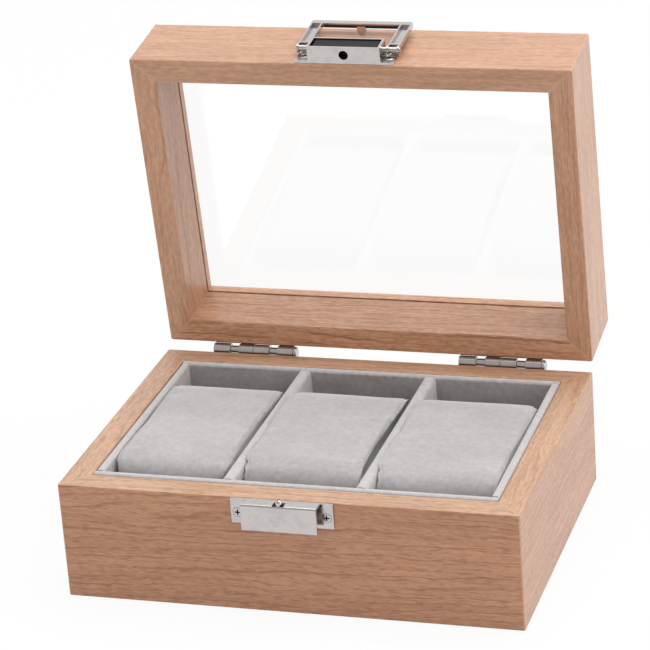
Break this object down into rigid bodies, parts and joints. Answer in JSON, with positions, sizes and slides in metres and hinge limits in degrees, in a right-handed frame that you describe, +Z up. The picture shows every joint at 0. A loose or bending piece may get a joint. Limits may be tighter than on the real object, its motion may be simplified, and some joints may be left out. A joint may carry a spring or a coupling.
{
  "type": "watch display box",
  "caption": "Oak-look wooden watch display box with a hinged glass lid, velvet-lined places with lift-out cushions, and a chrome bail latch.",
  "frame": {"origin": "centre of the base's underside, on the face that it rests on", "axes": "+Z up, +X to the box's right as seen from the front, +Y towards the hinges at the back"},
  "size_m": [0.1786, 0.1688, 0.1858],
  "materials": {
    "oak": "satin, fine straight grain",
    "backing_board": "plain board",
    "lining_velvet": "short-pile velvet",
    "cushion_velvet": "short-pile velvet",
    "chrome": "bright plate",
    "blackened_steel": "blackened",
    "clear_glass": "clear, polished"
  },
  "bodies": {
    "base": {"front_panel": "oak", "back_panel": "oak", "left_panel": "oak", "right_panel": "oak", "bottom_panel": "backing_board", "floor_lining": "lining_velvet", "front_lining": "lining_velvet", "back_lining": "lining_velvet", "left_lining": "lining_velvet", "right_lining": "lining_velvet", "left_divider": "lining_velvet", "right_divider": "lining_velvet", "catch_plate": "chrome", "catch_peg": "chrome", "catch_screws": "chrome", "left_hinge_base_leaf": "chrome", "left_hinge_pin": "chrome", "left_hinge_collars": "chrome", "left_hinge_base_screws": "chrome", "right_hinge_base_leaf": "chrome", "right_hinge_pin": "chrome", "right_hinge_collars": "chrome", "right_hinge_base_screws": "chrome"},
    "lid": {"lid_front_rail": "oak", "lid_back_rail": "oak", "lid_left_rail": "oak", "lid_right_rail": "oak", "glass_pane": "clear_glass", "latch_bracket": "chrome", "latch_spring": "blackened_steel", "latch_screws": "chrome", "left_hinge_lid_leaf": "chrome", "left_hinge_lid_screws": "chrome", "right_hinge_lid_leaf": "chrome", "right_hinge_lid_screws": "chrome"},
    "bail": {"latch_bail": "chrome", "latch_pins": "chrome"},
    "cushion_left": {"cushion_left": "cushion_velvet"},
    "cushion_middle": {"cushion_middle": "cushion_velvet"},
    "cushion_right": {"cushion_right": "cushion_velvet"}
  },
  "joints": [
    {"name": "lid_hinge", "type": "hinge", "parent": "base", "child": "lid", "pos_m": [0, 0.06715, 0.0472], "axis": [1, 0, 0], "range_deg": [0, 82.5]},
    {"name": "bail_pivot", "type": "hinge", "parent": "lid", "child": "bail", "pos_m": [-0.0006, 0.05745, 0.18138], "axis": [1, 0, 0], "range_deg": [0, 174]},
    {"name": "cushion_left_lift", "type": "slide", "parent": "base", "child": "cushion_left", "axis": [0, 0, 1], "range_m": [0, 0.021]},
    {"name": "cushion_middle_lift", "type": "slide", "parent": "base", "child": "cushion_middle", "axis": [0, 0, 1], "range_m": [0, 0.021]},
    {"name": "cushion_right_lift", "type": "slide", "parent": "base", "child": "cushion_right", "axis": [0, 0, 1], "range_m": [0, 0.021]}
  ]
}
